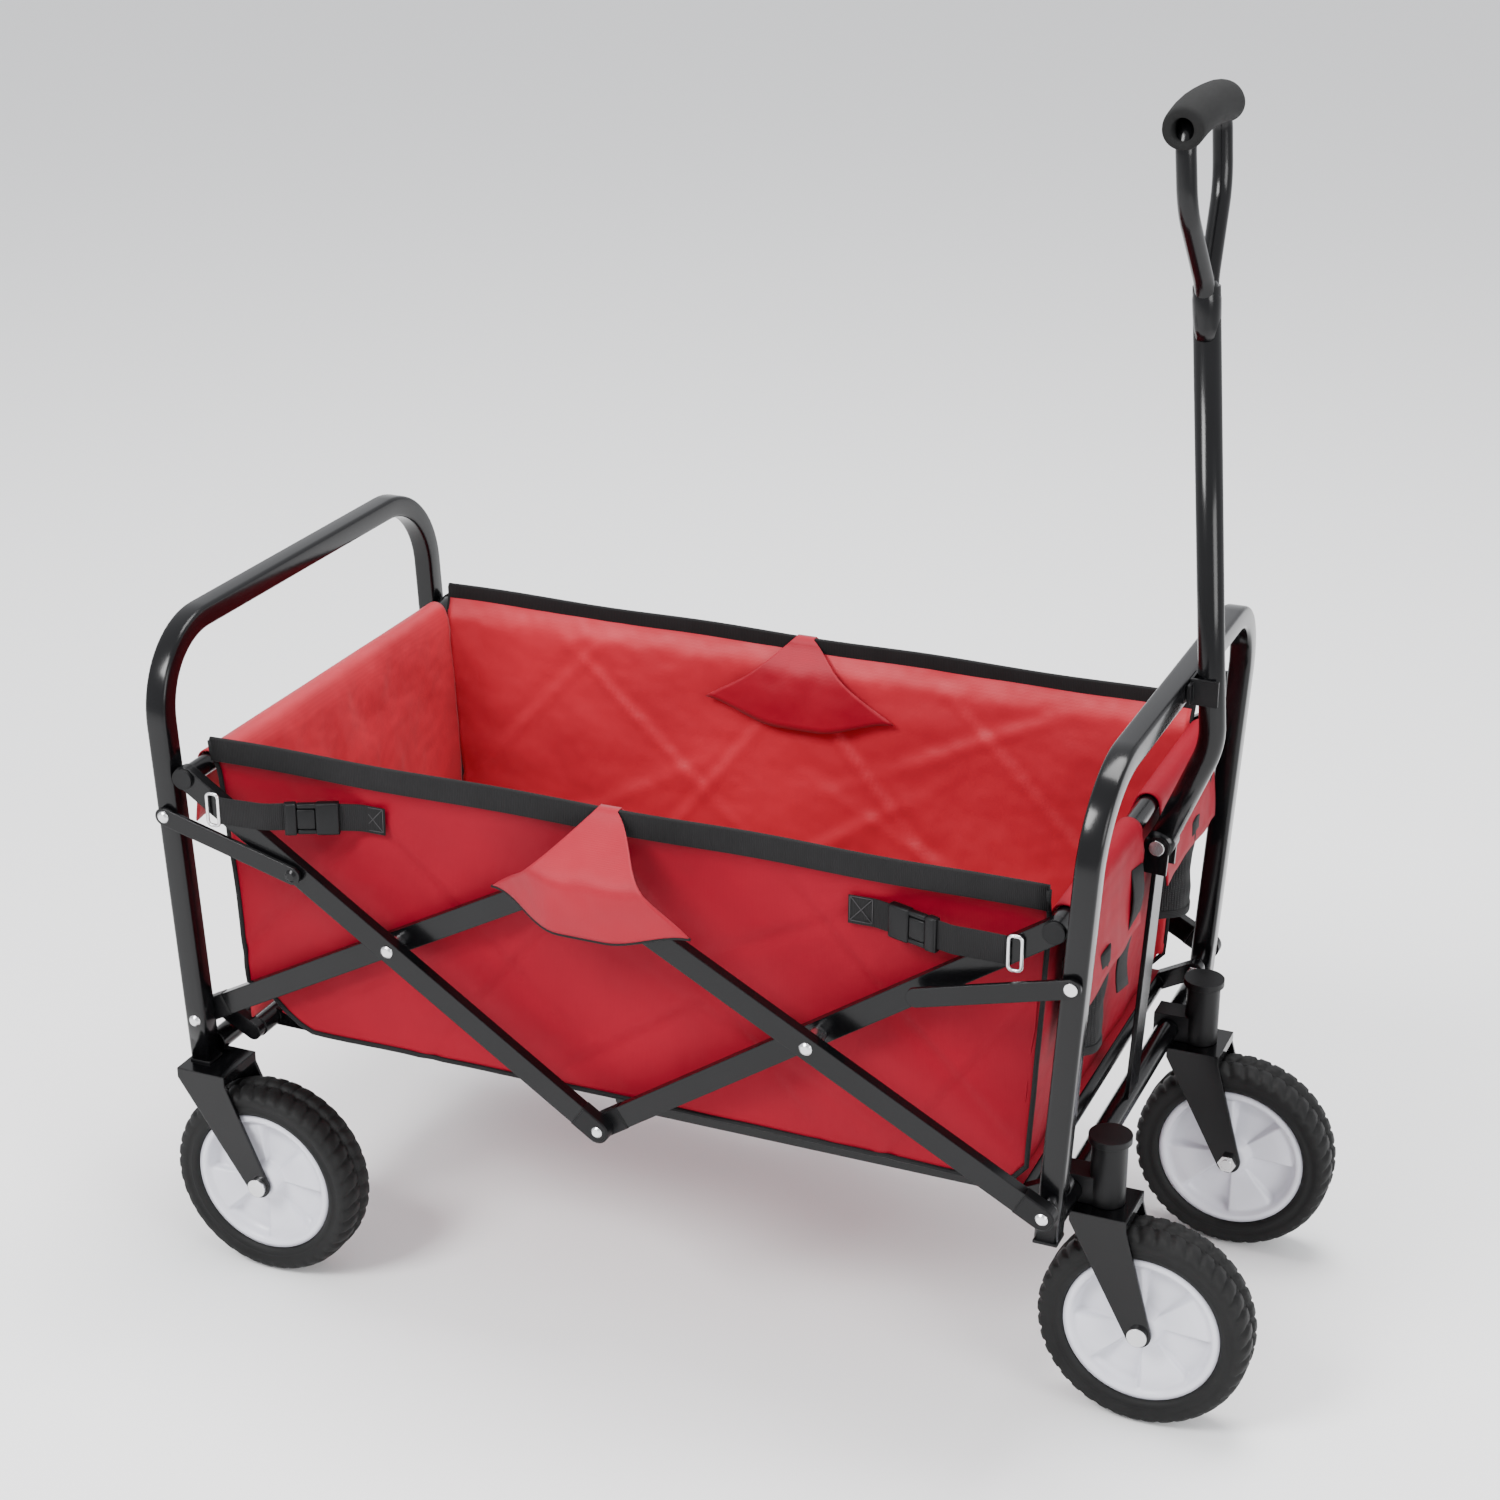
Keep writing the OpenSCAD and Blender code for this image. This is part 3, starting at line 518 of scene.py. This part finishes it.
for y, r in ring:
    for k in range(N):
        a = 2 * math.pi * k / N
        r1 = r * (1 + 0.012 * math.sin(3 * a + 60 * y))
        verts.append(grip + droop(y) + side_v * y + front_v * (r1 * math.cos(a))
                     + axis * (r1 * math.sin(a)))
for i in range(len(ring)):
    i2 = (i + 1) % len(ring)
    for k in range(N):
        faces.append((i * N + k, i * N + (k + 1) % N, i2 * N + (k + 1) % N, i2 * N + k))
foam = mesh_obj("look_grip", verts, faces, "foam", slot="foam_black", body="handle")
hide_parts("handle_grip")

# plastic ends on the bars, round the bottom joints and at the front posts' feet
ends = [("bars_rear_high", BC, TL), ("bars_front_high", BC, TR), ("bars_front_low", BR, TC),
        ("bars_rear_low", BL, TC)]
for node, at, to in ends:
    lo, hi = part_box(node)
    ylo, yhi = hi.y - 0.010, hi.y
    d = Vector((to.x - at.x, 0, to.z - at.z)).normalized()
    n = Vector((-d.z, 0, d.x))
    for s in (-1, 1):
        outline = []
        for k in range(13):
            a = math.radians(90 + 180 * k / 12)
            outline.append(at + d * (0.0104 * math.cos(a)) + n * (0.0104 * math.sin(a)))
        outline = [at + d * 0.022 + n * 0.0104] + outline + [at + d * 0.022 - n * 0.0104]
        verts, faces, m = [], [], len(outline)
        ys = [(ylo - .0004, .9), (ylo - .0004, 1), (yhi + .0004, 1), (yhi + .001, .9)]
        for y, f in ys:
            for p in outline:
                q = at + d * 0.008
                verts.append(((p.x - q.x) * f + q.x, s * y, (p.z - q.z) * f + q.z))
        for i in range(3):
            for j in range(m):
                faces.append((i * m + j, i * m + (j + 1) % m, (i + 1) * m + (j + 1) % m,
                              (i + 1) * m + j))
        faces += [tuple(range(m)), tuple(range(3 * m, 4 * m))[::-1]]
        mesh_obj(f"end_{node}_{'near' if s < 0 else 'far'}_{'c' if at is BC else 'f'}", verts,
                 faces, "plastic", smooth=False, slot="black_plastic", body=node)


# ---------- fabric tub ----------
def grid(name, nu, nv, f, mat, keep=None, **k):
    verts = [f(i / nu, j / nv) for i in range(nu + 1) for j in range(nv + 1)]
    faces = []
    for i in range(nu):
        for j in range(nv):
            if keep and not keep((i + .5) / nu, (j + .5) / nv):
                continue
            a = i * (nv + 1) + j
            faces.append((a, a + nv + 1, a + nv + 2, a + 1))
    used = sorted({v for fc in faces for v in fc})
    index = {v: n for n, v in enumerate(used)}
    return mesh_obj(name, [verts[v] for v in used], [tuple(index[v] for v in fc) for fc in faces],
                    mat, **k)


def wall_y(z):
    return YW - 0.0012 + 0.0085 * smooth((z - 0.462) / 0.03)


def wall_edges(z):
    t = (RIM - z) / (RIM - FLOOR_Z)
    return XR - 0.001 + 0.018 * t ** 1.2, XF + 0.001 - 0.012 * t


# middle x, depth below the rim, slope and depth of each crease
CREASES = [(XR + 0.09, 0.12, 1.1, 0.0022), (XR + 0.20, 0.10, -0.9, 0.0020),
           (MID - 0.09, 0.16, 1.3, 0.0022), (MID + 0.07, 0.13, -1.2, 0.0026),
           (MID + 0.02, 0.21, 0.7, 0.0018), (XF - 0.13, 0.13, -1.0, 0.0024),
           (XF - 0.07, 0.19, 1.4, 0.0020), (MID + 0.17, 0.08, 0.5, 0.0020),
           (MID - 0.20, 0.20, 0.6, 0.0016), (XF - 0.24, 0.20, -0.5, 0.0018)]


def side_point(s, u, v):
    x0, x1 = wall_edges(RIM)
    x = lerp(x0, x1, u)
    zb = FLOOR_Z + 0.036 * smooth((XR + 0.068 - x) / 0.06) ** 1.3
    zb += 0.020 * smooth((x - XF + 0.016) / 0.014)
    zb += 0.0025 * math.sin(u * math.pi)
    z = lerp(zb, RIM - 0.002, v)
    a, b = wall_edges(z)
    x = lerp(a, b, u)
    # folds: soft sag lines from the corners and shallow waves between the bars
    fold = 0.0016 * math.sin(26 * x + 9 * z) * math.sin(math.pi * v)
    fold += 0.0034 * wob(x, s, z, 7, 3.0 * s) * math.sin(math.pi * min(1, v * 1.1))
    fold += 0.0012 * wob(x * 0.5, s, z, 34, 5.0 * s)
    for cx, cz, slope, size in CREASES:
        d = (z - RIM + cz) - slope * (x - cx)
        along = abs(x - cx)
        fold -= size * math.exp(-(d / 0.007) ** 2) * math.exp(-(along / 0.11) ** 2)
        fold += 0.6 * size * math.exp(-((d - 0.014) / 0.010) ** 2) * math.exp(-(along / 0.11) ** 2)
    fold = max(-0.006, min(0.0022, fold - 0.0012)) * smooth((RIM - 0.006 - z) / 0.05)
    return (x, s * (wall_y(z) + fold), z)


for s, side in ((-1, "near"), (1, "far")):
    w = grid(f"look_side_{side}", 150, 60, lambda u, v: side_point(s, u, v),
             "red", slot="fabric_red", body="rear_frame")
    w.data.materials.append(M["red_in"])
    md = w.modifiers.new("thick", "SOLIDIFY")
    md.thickness, md.offset = 0.0016, -1
    md.material_offset = 1
    bm = bmesh.new()
    bm.from_mesh(w.data)
    bmesh.ops.recalc_face_normals(bm, faces=bm.faces[:])
    # outer faces look away from the middle
    bm.faces.ensure_lookup_table()
    bm.normal_update()
    if bm.faces[len(bm.faces) // 2].normal.y * s < 0:
        bmesh.ops.reverse_faces(bm, faces=bm.faces[:])
    bm.to_mesh(w.data)
    bm.free()
    apply_mods(w)
    for p in w.data.polygons:
        p.use_smooth = True
    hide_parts("tub_side_" + side)
    squashed(w)
    # binding along the rim
    y = wall_y(RIM)
    pts = [(lerp(XR - .001, XF + .001, k / 60), s * (y - .0008 + .0006 * wob(k / 9, s, 0, 1, 2)),
            RIM - 0.0098 + 0.0007 * math.sin(k * .35)) for k in range(61)]
    band = sweep(f"rim_binding_{side}", pts, round_rect(0.0042, 0.0222, 0.0018), "band",
                 up=(0, 0, 1), slot="webbing_black", body="rear_frame")
    squashed(band)
    # black piping down the corners and along the foot
    foot = [side_point(s, u / 60, 0.0) for u in range(61)]
    rear = [side_point(s, 0.0, v / 24) for v in range(24, 0, -1)]
    fore = [side_point(s, 1.0, v / 24) for v in range(1, 25)]
    line = [Vector((p[0], p[1] + s * 0.0004, p[2])) for p in rear + foot + fore]
    pipe = sweep(f"piping_{side}", line, circle(0.0022, 10), "band_z", up=(0, 1, 0),
                 slot="webbing_black", body="rear_frame")
    squashed(pipe)


# end walls: up the inside, over the tube and down outside as a short apron
def end_wall(name, tube, d, apron, body, node, sleeve, mat, notch):
    half = YW - 0.0035
    r = 0.0108
    x_in = tube.x - d * r * 1.05
    z0 = FLOOR_Z + 0.002
    prof = [(x_in - d * 0.0015, lerp(z0, tube.z - 0.004, k / 22)) for k in range(23)]
    for k in range(1, 13):
        a = math.radians(180 - 190 * k / 12)
        prof.append((tube.x + d * r * math.cos(a), tube.z + r * math.sin(a)))
    for k in range(1, 15):
        t = k / 14
        prof.append((tube.x + d * (r + 0.0006 + 0.004 * t), tube.z - 0.003 - apron * t))
    nv = len(prof) - 1

    def f(u, v):
        k = round(v * nv)
        x, z = prof[k]
        y = lerp(-half, half, u)
        amp = 0.0028 if k < 22 else (0.0006 if k < 35 else 0.004 * ((k - 34) / 14))
        g = amp * wob(0.2, y, z, 16, 7 * d) + amp * 0.5 * math.sin(38 * y + 12 * z)
        if k >= 35:
            z += 0.010 * wob(0, y, 0, 14, 3 * d) * (k - 34) / 14
            g = abs(g)
        else:
            g = -abs(g) if k < 22 else g * 0.3
        inset = 0.018 * ((RIM - z) / (RIM - FLOOR_Z)) ** 1.2 if k < 22 else 0
        return (x + d * g - (d * inset if d > 0 else d * inset * 0.66), y, z)

    keep = None
    if notch:
        def keep(u, v):
            y, k = abs(lerp(-half, half, u)), v * nv
            lim = 0.026 if k < 36 else 0.026 + 0.02 * (k - 36) / 14
            return not (y < lim and k > 20)
    w = grid(name, 90, nv, f, mat, keep, slot="fabric_red", body=body)
    w.data.materials.append(M["red_in"])
    thicken(w, SHEET_T, 0.0)
    for p in w.data.polygons:
        p.use_smooth = True
    length = sum(math.dist(prof[i], prof[i + 1]) for i in range(nv))
    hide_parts(node, sleeve)
    return w


end_wall("look_end_rear", TL, -1, 0.055, "rear_frame", "tub_end_rear", "sleeve_rear",
         "red_in", False)
end_wall("look_end_front", TR, 1, 0.075, "front_frame", "tub_end_front",
         "sleeve_front", "red", True)


# floor, with a faint ripple and turned up at the rear end, and the padded board on it
def floor_point(u, v):
    x = lerp(XR + 0.045, XF - 0.013, u)
    y = lerp(-YW + 0.004, YW - 0.004, v)
    z = FLOOR_Z + 0.002 + 0.0006 * wob(x, y, 0, 12)
    z += 0.012 * smooth((XR + 0.075 - x) / 0.03)
    return (x, y, z)


fl = grid("look_floor", 60, 34, floor_point, "red", slot="fabric_red", body="rear_frame")
thicken(fl, 0.0014, 0.0)
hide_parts("tub_floor")
squashed(fl)
blo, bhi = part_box("floor_board")
for k in range(4):
    w = (bhi.x - blo.x + 0.003) / 4
    c = Vector((blo.x + w * (k + .5) - 0.0015, 0, (blo.z + bhi.z) / 2))
    p = block(f"look_board_{k}", (w - 0.002, bhi.y - blo.y, bhi.z - blo.z), c, Matrix.Identity(3),
              0.0026, "red_fold", slot="fabric_red", body="rear_frame")
    squashed(p)
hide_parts("floor_board")


# ---------- rim flaps ----------
flo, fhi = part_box("rim_flaps")
for s, side in ((-1, "near"), (1, "far")):
    xc = (flo.x + fhi.x) / 2
    half = (fhi.x - flo.x) / 2
    zl, out = flo.z, fhi.y

    def flap_point(u, v):
        # u along x, v from the inner edge over the rim to the outer edge
        x = lerp(xc - half, xc + half, u)
        e = abs(2 * u - 1)
        top = RIM + 0.0028
        low = zl + 0.004 + 0.018 * smooth((e - 0.2) / 0.8)
        if v < 0.4:
            t = (0.4 - v) / 0.4
            z = lerp(top, low + 0.008, t)
            y = wall_y(z) - 0.0045 - 0.0065 * smooth(t * 3) - 0.005 * smooth(t) * (1 - e * e)
            y -= 0.002 * math.sin(math.pi * t) * abs(wob(x, 0, z, 26, 4 * s))
        else:
            t = (v - 0.4) / 0.6
            z = lerp(top, low, t)
            y = wall_y(RIM) + 0.002 + (out - wall_y(RIM) - 0.0008) * smooth(t * 1.8)
            # the corner over the inner bar lies nearer the wall
            tuck = smooth((-(2 * u - 1) - 0.25) / 0.75)
            y -= 0.026 * tuck * smooth(t * 1.2)
            y += 0.0022 * math.sin(math.pi * t) * abs(wob(x, 0, z, 26, 4 * s))
        return (x, s * y, z)

    verts, faces, n = [], [], 36
    for i in range(n + 1):
        for j in range(n + 1):
            v = j / n
            t = (0.4 - v) / 0.4 if v < 0.4 else (v - 0.4) / 0.6
            u = 0.5 + (i / n - 0.5) * (0.07 + 0.93 * t)
            verts.append(flap_point(u, v))
    for i in range(n):
        for j in range(n):
            a = i * (n + 1) + j
            faces.append((a, a + n + 1, a + n + 2, a + 1))
    fp = mesh_obj(f"look_flap_{side}", verts, faces, "red_fold", slot="fabric_red",
                  body="rear_frame")
    thicken(fp, SHEET_T, 0.0)
    for p in fp.data.polygons:
        p.use_smooth = True
    if s < 0:
        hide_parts("rim_flaps")
    squashed(fp)
    edge = [Vector(verts[i * (n + 1) + n]) for i in range(n + 1)]
    hem = sweep(f"flap_hem_{side}", edge, circle(0.0013, 8), "band_z", up=(0, 1, 0),
                slot="webbing_black", body="rear_frame")
    squashed(hem)


# ---------- bottle pockets ----------
for s, side in ((-1, "near"), (1, "far")):
    lo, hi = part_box("pocket_" + side)
    c, r = (lo + hi) / 2, (hi.y - lo.y) / 2

    def pocket_point(u, v):
        a = lerp(-92, 92, u)
        z = lerp(lo.z + 0.001, hi.z, v) + 0.004 * wob(u, s, v, 3)
        k = r * (0.90 + 0.12 * v - 0.05 * math.sin(math.pi * v)) + 0.002 * wob(u * 4, s, v * 3, 1.6)
        ca, sa = math.cos(math.radians(a)), math.sin(math.radians(a))
        return (lo.x + max(0, k * ca) * 0.96, c.y + k * sa * 0.97, z)

    pk = grid(f"look_pocket_{side}", 40, 26, pocket_point, "mesh", slot="webbing_black",
              body="front_frame")
    thicken(pk, 0.0014, 0.0)
    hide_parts("pocket_" + side)
    rimp = [Vector(pocket_point(u / 30, 1.0)) for u in range(31)]
    sweep(f"pocket_binding_{side}", rimp, round_rect(0.0034, 0.014, 0.0014, 2), "band_z",
          up=(0, 0, 1), slot="webbing_black", body="front_frame")
    base = [Vector(pocket_point(u / 30, 0.02)) for u in range(31)]
    sweep(f"pocket_foot_{side}", base, round_rect(0.003, 0.008, 0.001, 2), "band_z",
          up=(0, 0, 1), slot="webbing_black", body="front_frame")


# ---------- straps, rings and buckles ----------
def strap_set(tag, node, buckle_node, body, d, ring_y):
    for s, side in ((-1, "near"), (1, "far")):
        lo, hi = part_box(node)
        # the sewn end is the one nearer the middle
        x_ring, x_sewn = (lo.x + 0.006, hi.x) if d > 0 else (hi.x - 0.006, lo.x)
        zc = (lo.z + hi.z) / 2
        yw = YW + 0.0018
        pts = [Vector((x_sewn, s * yw, zc)), Vector((x_sewn - d * 0.022, s * (yw + .0003), zc)),
               Vector((x_ring + d * 0.048, s * (ring_y + .0006), zc)),
               Vector((x_ring + d * 0.004, s * (ring_y + .0012), zc))]
        path = fillet(pts, [0, 0.03, 0.03, 0], 8)
        fine = []
        for a, b in zip(path, path[1:]):
            n = max(1, int((b - a).length / 0.004))
            fine += [lerp(a, b, k / n) for k in range(n)]
        fine.append(path[-1])
        fine = [p + Vector((0, s * 0.0006 * math.sin(p.x * 60), 0.0012 * math.sin(p.x * 31)))
                for p in fine]
        st = sweep(f"strap_{tag}_{side}", fine, round_rect(0.0016, 0.0248, 0.0007, 2), "band",
                   up=(0, 0, 1), slot="webbing_black", body=body)
        if s < 0:
            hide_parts(node)
        # sewn box with a cross on the wall
        for k, (a, b) in enumerate((((0, -.0105), (0, .0105)), ((.019, -.0105), (.019, .0105)),
                                    ((0, -.0105), (.019, .0105)), ((0, .0105), (.019, -.0105)),
                                    ((0, -.0105), (.019, -.0105)), ((0, .0105), (.019, .0105)))):
            p = [Vector((x_sewn - d * (.0015 + q[0]), s * (yw + .0012), zc + q[1])) for q in (a, b)]
            sweep(f"stitch_{tag}_{side}_{k}", p, circle(0.00045, 6), "stitch", up=(0, 1, 0),
                  slot="webbing_black", body=body)
        # wire ring
        rx, rz = x_ring - d * 0.001, 0.0145
        ring = [Vector((rx - d * .007, s * (ring_y + .0022), zc - rz)),
                Vector((rx + d * .004, s * (ring_y + .0022), zc - rz)),
                Vector((rx + d * .004, s * (ring_y + .0022), zc + rz)),
                Vector((rx - d * .007, s * (ring_y + .0022), zc + rz))]
        loop = []
        for k in range(4):
            p, a, b = ring[k], ring[k - 1], ring[(k + 1) % 4]
            q = fillet([a, p, b], [0, 0.0035, 0], 5)
            loop += q[1:-1]
        sweep(f"ring_{tag}_{side}", loop, circle(0.0015, 10), "zinc", up=(0, 1, 0), closed=True,
              slot="zinc_steel", body=body)
        # side-release buckle on the slanting stretch
        a, b = pts[1], pts[2]
        t = (b - a).normalized()
        out = Vector((0, s, 0))
        nrm = (out - t * out.dot(t)).normalized()
        rot = Matrix((t, nrm, t.cross(nrm))).transposed()
        m = (a + b) / 2 + nrm * 0.0008
        pieces = [((0.020, 0.0086, 0.029), -0.012), ((0.016, 0.0074, 0.0185), 0.006),
                  ((0.0095, 0.0086, 0.029), 0.0185)]
        for k, (size, off) in enumerate(pieces):
            block(f"buckle_{tag}_{side}_{k}", size, m + t * off, rot, 0.0018,
                              "plastic", slot="black_plastic", body=body)
        for k, z in enumerate((-0.0118, 0.0118)):
            block(f"buckle_{tag}_{side}_prong{k}", (0.0175, 0.0062, 0.0042),
                              m + t * 0.005 + rot @ Vector((0, 0, z)), rot, 0.0013, "plastic",
                              slot="black_plastic", body=body)
        for k, off in enumerate((-0.0205, 0.0228)):
            block(f"buckle_{tag}_{side}_bar{k}", (0.003, 0.0064, 0.029), m + t * off,
                              rot, 0.0009, "plastic", slot="black_plastic", body=body)
        if s < 0:
            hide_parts(buckle_node)


ring_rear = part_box("bars_rear_high")[1].y + 0.0008
ring_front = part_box("bars_front_high")[1].y + 0.0008
strap_set("rear", "straps_rear", "buckles_rear", "rear_frame", 1, ring_rear)
strap_set("front", "straps_front", "buckles_front", "front_frame", -1, ring_front)

# webbing tab that hangs from the front sleeve's notch
pts = [Vector((TR.x + 0.0135 + 0.004 * math.sin(k * .5), -0.048 - 0.0016 * k,
               TR.z - 0.022 - 0.0085 * k)) for k in range(13)]
sweep("notch_webbing", pts, round_rect(0.0018, 0.030, 0.0008, 2), "band_z", up=(0, 1, 0),
      slot="webbing_black", body="front_frame")
for s, side in ((-1, "near"), (1, "far")):
    pts = [Vector((TR.x + 0.0135, s * (0.195 - 0.003 * k), TR.z - 0.012 - 0.006 * k))
           for k in range(8)]
    sweep(f"corner_webbing_{side}", pts, round_rect(0.0018, 0.022, 0.0008, 2), "band_z",
          up=(0, 1, 0), slot="webbing_black", body="front_frame")

# ---------- stage, light and camera ----------
bpy.ops.mesh.primitive_plane_add(size=40, location=(0, 0, -0.0005))
ground = bpy.context.object
ground.name = "ground"
gm = bpy.data.materials.new("ground")
gm.use_nodes = True
gb = gm.node_tree.nodes["Principled BSDF"]
gb.inputs["Base Color"].default_value = (0.9, 0.9, 0.9, 1)
gb.inputs["Roughness"].default_value = 0.9
ground.data.materials.append(gm)
ground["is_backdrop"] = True

world = bpy.context.scene.world or bpy.data.worlds.new("studio")
bpy.context.scene.world = world
world.use_nodes = True
bg = world.node_tree.nodes["Background"]
bg.inputs["Color"].default_value = (0.96, 0.97, 1.0, 1)
bg.inputs["Strength"].default_value = 1.15


def lamp(name, at, size, power):
    d = bpy.data.lights.new(name, "AREA")
    d.size, d.energy = size, power
    o = bpy.data.objects.new(name, d)
    o.location = at
    o.rotation_euler = (Vector((0, 0, 0.35)) - Vector(at)).to_track_quat("-Z", "Y").to_euler()
    bpy.context.scene.collection.objects.link(o)


lamp("key", (-1.4, -2.6, 3.0), 1.3, 170)
lamp("fill", (3.0, -1.6, 1.6), 1.6, 75)
lamp("top", (0.2, 0.6, 3.4), 1.6, 130)

# the camera that was fitted to the photograph, moved into this frame
CAM_SENSOR, CAM_LENS = 36, 68.74  # millimetres
REAR_PIVOT_X = 0.00358  # where the fitted camera's own frame has the rear pivot
CAM_AT = (1.3266 + (BL.x - REAR_PIVOT_X), -2.1117, 1.4403)
cam = bpy.data.cameras.new("camera")
cam.sensor_width, cam.lens = CAM_SENSOR, CAM_LENS
eye = bpy.data.objects.new("camera", cam)
right = Vector((0.92073, 0.39021, 0.00147)).normalized()
down = Vector((0.15301, -0.35757, -0.92127)).normalized()
back = right.cross(-down)
rot = Matrix((right, -down, back)).transposed().to_4x4()
eye.matrix_world = Matrix.Translation(CAM_AT) @ rot
bpy.context.scene.collection.objects.link(eye)
bpy.context.scene.camera = eye

bpy.context.view_layer.update()


def plain(b):
    return [[float(x) for x in v] if hasattr(v, "__len__") else float(v) for v in b]


{"cad": plain(cad_box), "visual": plain(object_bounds())}
